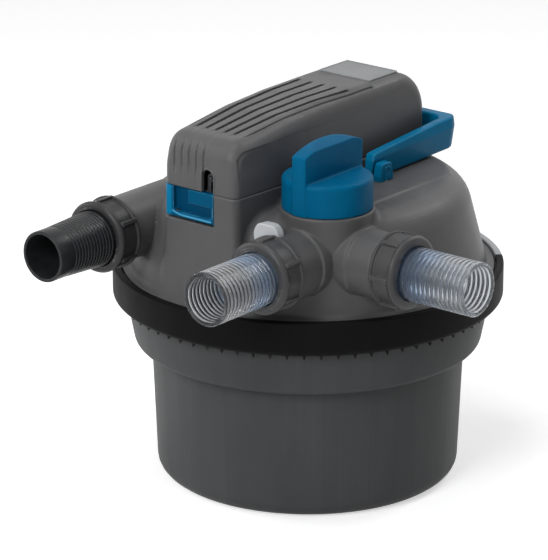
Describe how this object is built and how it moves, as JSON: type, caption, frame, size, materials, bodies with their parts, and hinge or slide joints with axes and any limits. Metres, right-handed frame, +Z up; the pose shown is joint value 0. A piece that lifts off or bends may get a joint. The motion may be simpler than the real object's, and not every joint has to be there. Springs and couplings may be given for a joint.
{
  "type": "pond canister filter",
  "caption": "Pressurised pond canister filter: bucket with clamped domed lid, UV head, selector valve, three hose tails and a folding pull handle that squeezes its foam.",
  "frame": {"origin": "centre of the flat foot under the bucket", "axes": "+Z up; the UV head lies along Y with its latch at -Y and the handle bar at +Y; the selector valve is on the +X side and the inlet on the -X side"},
  "size_m": [0.341, 0.3415, 0.2885],
  "materials": {
    "bucket": "fine satin grain, dark grey",
    "ring": "satin black",
    "seal": "matt rubber",
    "head": "satin warm grey",
    "grey_trim": "satin light grey",
    "black_fitting": "satin black",
    "clear_tail": "clear moulded plastic",
    "foam_blue": "open-cell foam",
    "foam_red": "open-cell foam",
    "quartz": "polished quartz",
    "white_plastic": "satin white",
    "lamp_glass": "clear lamp glass",
    "steel": "stainless steel",
    "ballast": "pale moulded case",
    "plate": "bare satin plate",
    "blue_trim": "semi-gloss blue",
    "nut": "satin black"
  },
  "bodies": {
    "tank": {"bucket": "bucket", "clamp_ring": "ring", "lid_seal": "seal", "lid": "head", "nut_lock": "grey_trim", "inlet_tail": "black_fitting", "outlet_tail": "clear_tail", "drain_tail": "clear_tail", "hose_gaskets": "seal", "valve_seal": "seal", "rod_seals": "seal", "centre_tube": "black_fitting", "top_grid": "black_fitting", "foam_ring_1": "foam_blue", "foam_ring_2": "foam_blue", "foam_ring_3": "foam_red", "foam_ring_4": "foam_red", "quartz_sleeve": "quartz", "sleeve_seal": "seal", "sleeve_nut": "white_plastic", "uv_lamp": "lamp_glass", "lamp_socket": "white_plastic", "uv_tray": "black_fitting", "tray_screws": "steel", "ballast": "ballast", "terminal_block": "white_plastic", "cable_gland": "black_fitting", "gland_nut": "black_fitting", "latch_pin": "steel", "lever_pin": "steel"},
    "cap": {"uv_cap": "head", "label_plate": "plate"},
    "latch": {"cap_latch": "blue_trim", "latch_hook": "black_fitting"},
    "selector": {"selector_knob": "blue_trim", "valve_rotor": "white_plastic", "knob_screw": "steel"},
    "squeezer": {"pull_rods": "steel", "rod_heads": "blue_trim", "handle_pins": "steel", "pressure_plate": "black_fitting", "rod_nuts": "steel"},
    "handle": {"cleaning_handle": "blue_trim"},
    "inlet_union": {"inlet_nut": "nut"},
    "outlet_union": {"outlet_nut": "nut"},
    "drain_union": {"drain_nut": "nut"},
    "lever": {"ring_lever": "grey_trim"}
  },
  "joints": [
    {"name": "cap_lift", "type": "slide", "parent": "tank", "child": "cap", "axis": [0, 0, 1], "range_m": [0, 0.028]},
    {"name": "latch_release", "type": "hinge", "parent": "tank", "child": "latch", "pos_m": [0, -0.1189, 0.2202], "axis": [1, 0, 0], "range_deg": [0, 30], "stiffness_Nm_per_rad": 0.05, "springref_deg": -2.86},
    {"name": "selector_turn", "type": "hinge", "parent": "tank", "child": "selector", "pos_m": [0.068, -0.064, 0.1956], "axis": [0, 0, 1], "range_deg": [-90, 0]},
    {"name": "handle_pull", "type": "slide", "parent": "tank", "child": "squeezer", "axis": [0, 0, 1], "range_m": [0, 0.06], "deforming": ["foam_ring_1", "foam_ring_2", "foam_ring_3", "foam_ring_4"]},
    {"name": "handle_fold", "type": "hinge", "parent": "squeezer", "child": "handle", "pos_m": [0, 0.02, 0.2322], "axis": [1, 0, 0], "range_deg": [0, 90]},
    {"name": "inlet_nut_turn", "type": "hinge", "parent": "tank", "child": "inlet_union", "pos_m": [-0.078, -0.136, 0.1956], "axis": [0, 1, 0], "continuous": true},
    {"name": "outlet_nut_turn", "type": "hinge", "parent": "tank", "child": "outlet_union", "pos_m": [0.1355, -0.064, 0.1956], "axis": [1, 0, 0], "continuous": true},
    {"name": "drain_nut_turn", "type": "hinge", "parent": "tank", "child": "drain_union", "pos_m": [0.068, -0.133, 0.1956], "axis": [0, 1, 0], "continuous": true},
    {"name": "ring_lever_open", "type": "hinge", "parent": "tank", "child": "lever", "pos_m": [0.04894, 0.13447, 0.1471], "axis": [0, 0, 1], "range_deg": [0, 75]}
  ]
}
